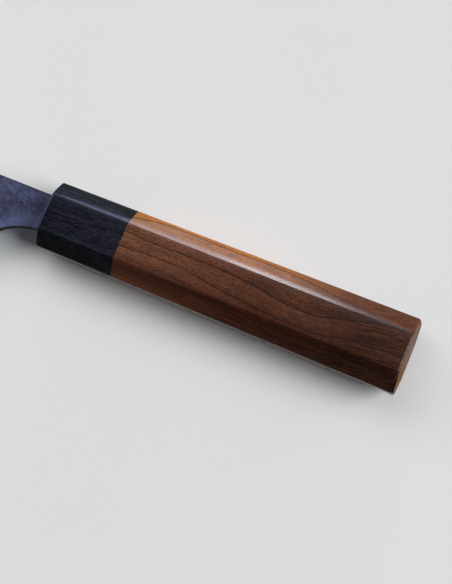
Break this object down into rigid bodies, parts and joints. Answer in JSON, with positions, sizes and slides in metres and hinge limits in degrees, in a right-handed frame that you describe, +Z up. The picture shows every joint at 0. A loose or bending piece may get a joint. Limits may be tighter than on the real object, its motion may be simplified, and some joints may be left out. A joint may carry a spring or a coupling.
{
  "type": "gyuto knife",
  "caption": "Japanese chef's knife: laminated blade with a forge-scale finish, tapered octagonal wooden handle with a black wooden ferrule, tang bedded in a slotted dowel",
  "frame": {"origin": "On the surface that the knife lies on, under the middle of its bounding box.", "axes": "The knife lies on its right side. +X runs along the handle towards the butt and -X towards the tip, +Y towards the spine and -Y towards the cutting edge, and +Z is up, square to the middle plane of the blade."},
  "size_m": [0.3708, 0.0532, 0.021],
  "materials": {
    "core_steel": "ground and polished carbon steel",
    "forge_scale": "dark blue-grey forge scale on soft iron, with a ground bevel",
    "sealant": "black sealant",
    "black_wood": "black dyed wood, fine lengthwise grain, satin",
    "walnut": "oiled walnut, satin",
    "dowel_wood": "bare softwood",
    "resin": "cured amber resin"
  },
  "bodies": {
    "root": {"core_steel": "core_steel", "left_cladding": "forge_scale", "right_cladding": "forge_scale", "mouth_seal": "sealant", "ferrule": "black_wood", "handle_body": "walnut", "left_dowel_half": "dowel_wood", "right_dowel_half": "dowel_wood", "tang_adhesive": "resin"}
  },
  "joints": []
}
